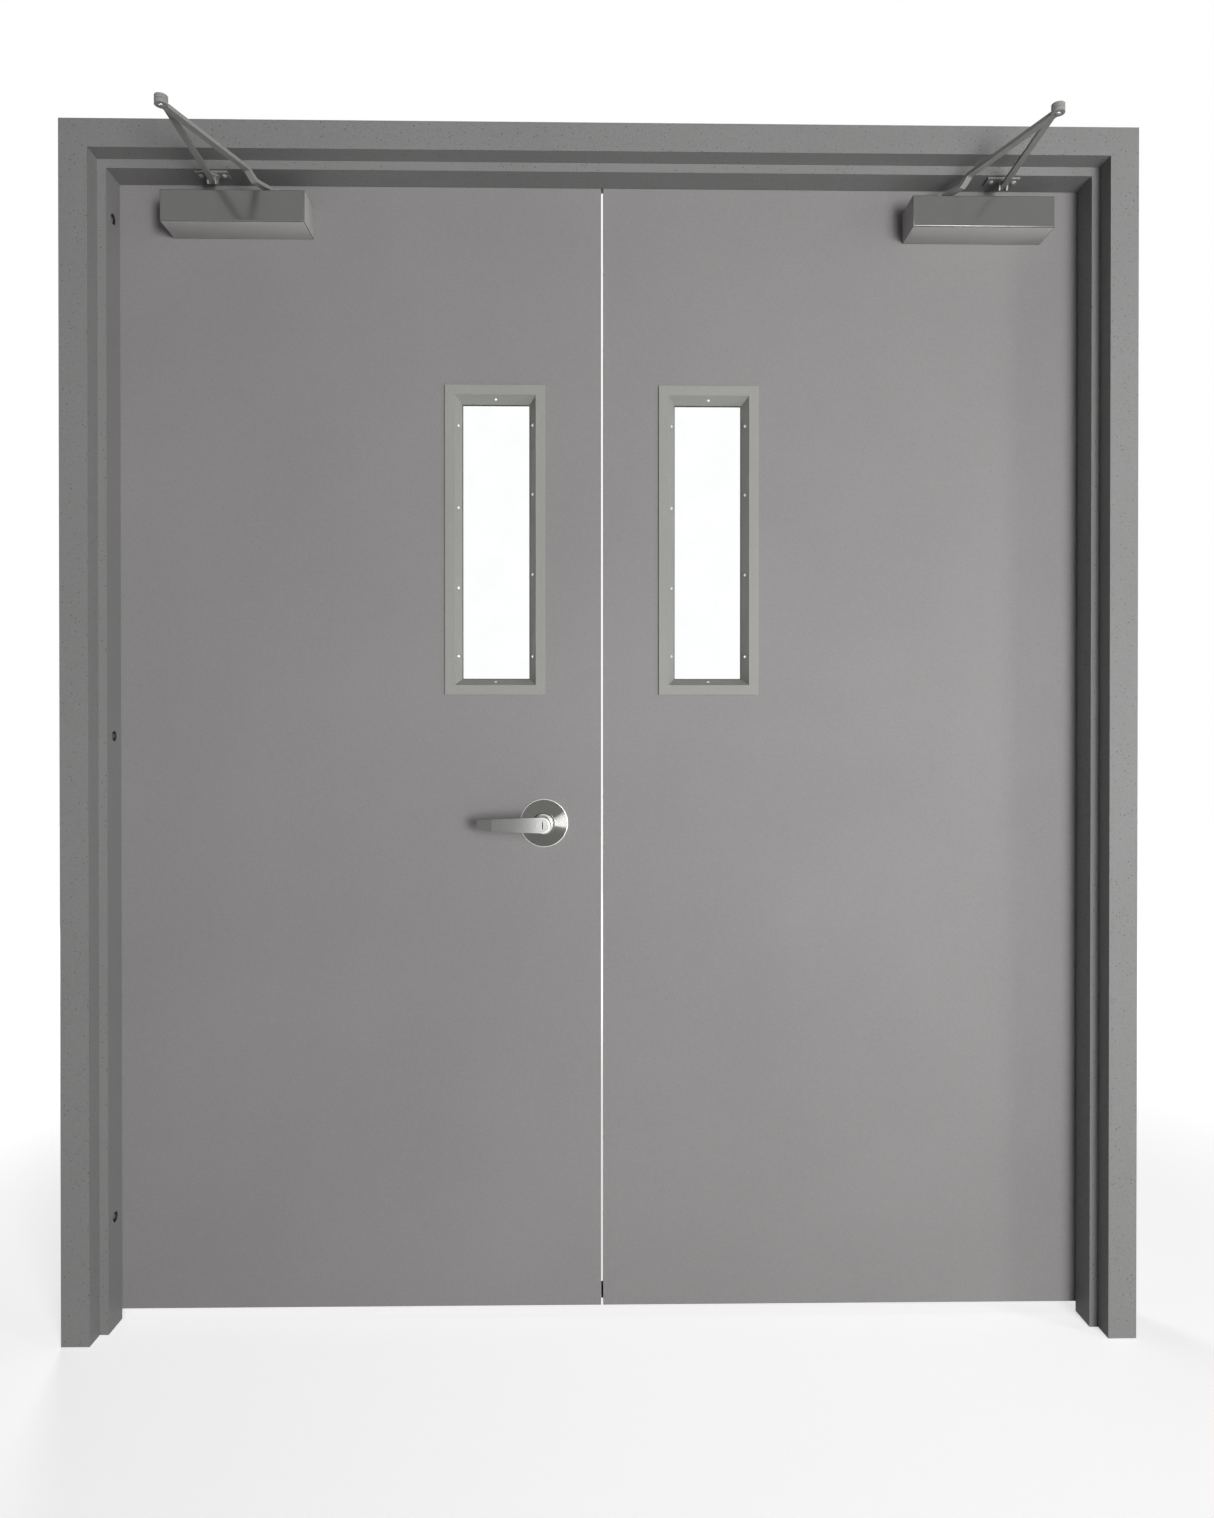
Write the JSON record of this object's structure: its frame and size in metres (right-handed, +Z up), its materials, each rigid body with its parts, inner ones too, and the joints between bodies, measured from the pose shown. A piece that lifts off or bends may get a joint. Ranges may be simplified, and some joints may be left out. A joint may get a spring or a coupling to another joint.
{
  "type": "hollow metal double door",
  "caption": "Pair of hollow steel doors with narrow lites, lever lock and surface closers in a welded double-rabbet steel frame.",
  "frame": {"origin": "centre of the underside of the left jamb's floor anchor, on the floor", "axes": "+Z up, +X to the right seen from the push side, +Y into the doorway towards the side that the leaves swing to"},
  "size_m": [1.9304, 0.4153, 2.1844],
  "materials": {
    "frame_paint": "satin grey primer",
    "leaf_paint": "satin grey enamel",
    "trim_paint": "satin light grey enamel",
    "anchor_steel": "mill finish",
    "hinge_steel": "satin",
    "closer_metal": "satin lacquer",
    "arm_steel": "satin",
    "lock_steel": "satin to polished",
    "chassis_steel": "plated",
    "core_paper": "kraft honeycomb",
    "glass": "clear wired-free safety glass",
    "rubber": "matt"
  },
  "bodies": {
    "frame": {"left_jamb": "frame_paint", "right_jamb": "frame_paint", "head": "frame_paint", "left_floor_anchor": "anchor_steel", "right_floor_anchor": "anchor_steel", "left_wall_anchors": "anchor_steel", "right_wall_anchors": "anchor_steel", "silencers": "rubber", "left_frame_hinges": "hinge_steel", "right_frame_hinges": "hinge_steel", "left_soffit_bracket": "arm_steel", "right_soffit_bracket": "arm_steel"},
    "left_leaf": {"left_front_skin": "leaf_paint", "left_back_skin": "leaf_paint", "left_core": "core_paper", "left_end_channels": "leaf_paint", "left_front_trim": "trim_paint", "left_back_trim": "trim_paint", "left_glass": "glass", "left_leaf_hinges": "hinge_steel", "left_closer": "closer_metal", "front_rose": "lock_steel", "back_rose": "lock_steel", "lock_chassis": "chassis_steel", "latch": "lock_steel"},
    "lever_set": {"front_lever": "lock_steel", "back_lever": "lock_steel", "key_cylinder": "lock_steel"},
    "left_main_arm_body": {"left_main_arm": "arm_steel"},
    "left_forearm_body": {"left_forearm": "arm_steel", "left_yoke": "arm_steel"},
    "right_leaf": {"right_front_skin": "leaf_paint", "right_back_skin": "leaf_paint", "right_core": "core_paper", "right_end_channels": "leaf_paint", "right_front_trim": "trim_paint", "right_back_trim": "trim_paint", "right_glass": "glass", "right_leaf_hinges": "hinge_steel", "right_closer": "closer_metal", "strike_plate": "lock_steel", "flush_bolts": "lock_steel", "meeting_edge_pad": "rubber"},
    "right_main_arm_body": {"right_main_arm": "arm_steel"},
    "right_forearm_body": {"right_forearm": "arm_steel", "right_yoke": "arm_steel"}
  },
  "joints": [
    {"name": "left_leaf_swing", "type": "hinge", "parent": "frame", "child": "left_leaf", "pos_m": [0.0163, 0.08493, 1.0668], "axis": [0, 0, 1], "range_deg": [0, 105], "stiffness_Nm_per_rad": 8, "springref_deg": -57.3},
    {"name": "lever_turn", "type": "hinge", "parent": "left_leaf", "child": "lever_set", "pos_m": [0.8198, 0.03018, 0.9273], "axis": [0, -1, 0], "range_deg": [0, 50], "stiffness_Nm_per_rad": 1.5, "springref_deg": -14.32},
    {"name": "left_main_arm_swing", "type": "hinge", "parent": "left_leaf", "child": "left_main_arm_body", "pos_m": [0.3311, -0.00382, 2.085], "axis": [0, 0, 1], "range_deg": [-33, 0]},
    {"name": "left_forearm_swing", "type": "hinge", "parent": "frame", "child": "left_forearm_body", "pos_m": [0.2171, -0.01128, 2.112], "axis": [0, 0, 1], "range_deg": [0, 177]},
    {"name": "right_leaf_swing", "type": "hinge", "parent": "frame", "child": "right_leaf", "pos_m": [1.8419, 0.08493, 1.0668], "axis": [0, 0, -1], "range_deg": [0, 105], "stiffness_Nm_per_rad": 8, "springref_deg": -57.3},
    {"name": "right_main_arm_swing", "type": "hinge", "parent": "right_leaf", "child": "right_main_arm_body", "pos_m": [1.5541, -0.00382, 2.085], "axis": [0, 0, -1], "range_deg": [-28, 0]},
    {"name": "right_forearm_swing", "type": "hinge", "parent": "frame", "child": "right_forearm_body", "pos_m": [1.6681, -0.01128, 2.112], "axis": [0, 0, -1], "range_deg": [0, 166]}
  ],
  "couplings": [
    {"joint": "left_main_arm_swing", "follows": "left_leaf_swing", "ratio": -0.2971},
    {"joint": "left_forearm_swing", "follows": "left_leaf_swing", "ratio": 1.6699},
    {"joint": "right_main_arm_swing", "follows": "right_leaf_swing", "ratio": -0.2523},
    {"joint": "right_forearm_swing", "follows": "right_leaf_swing", "ratio": 1.5625}
  ]
}
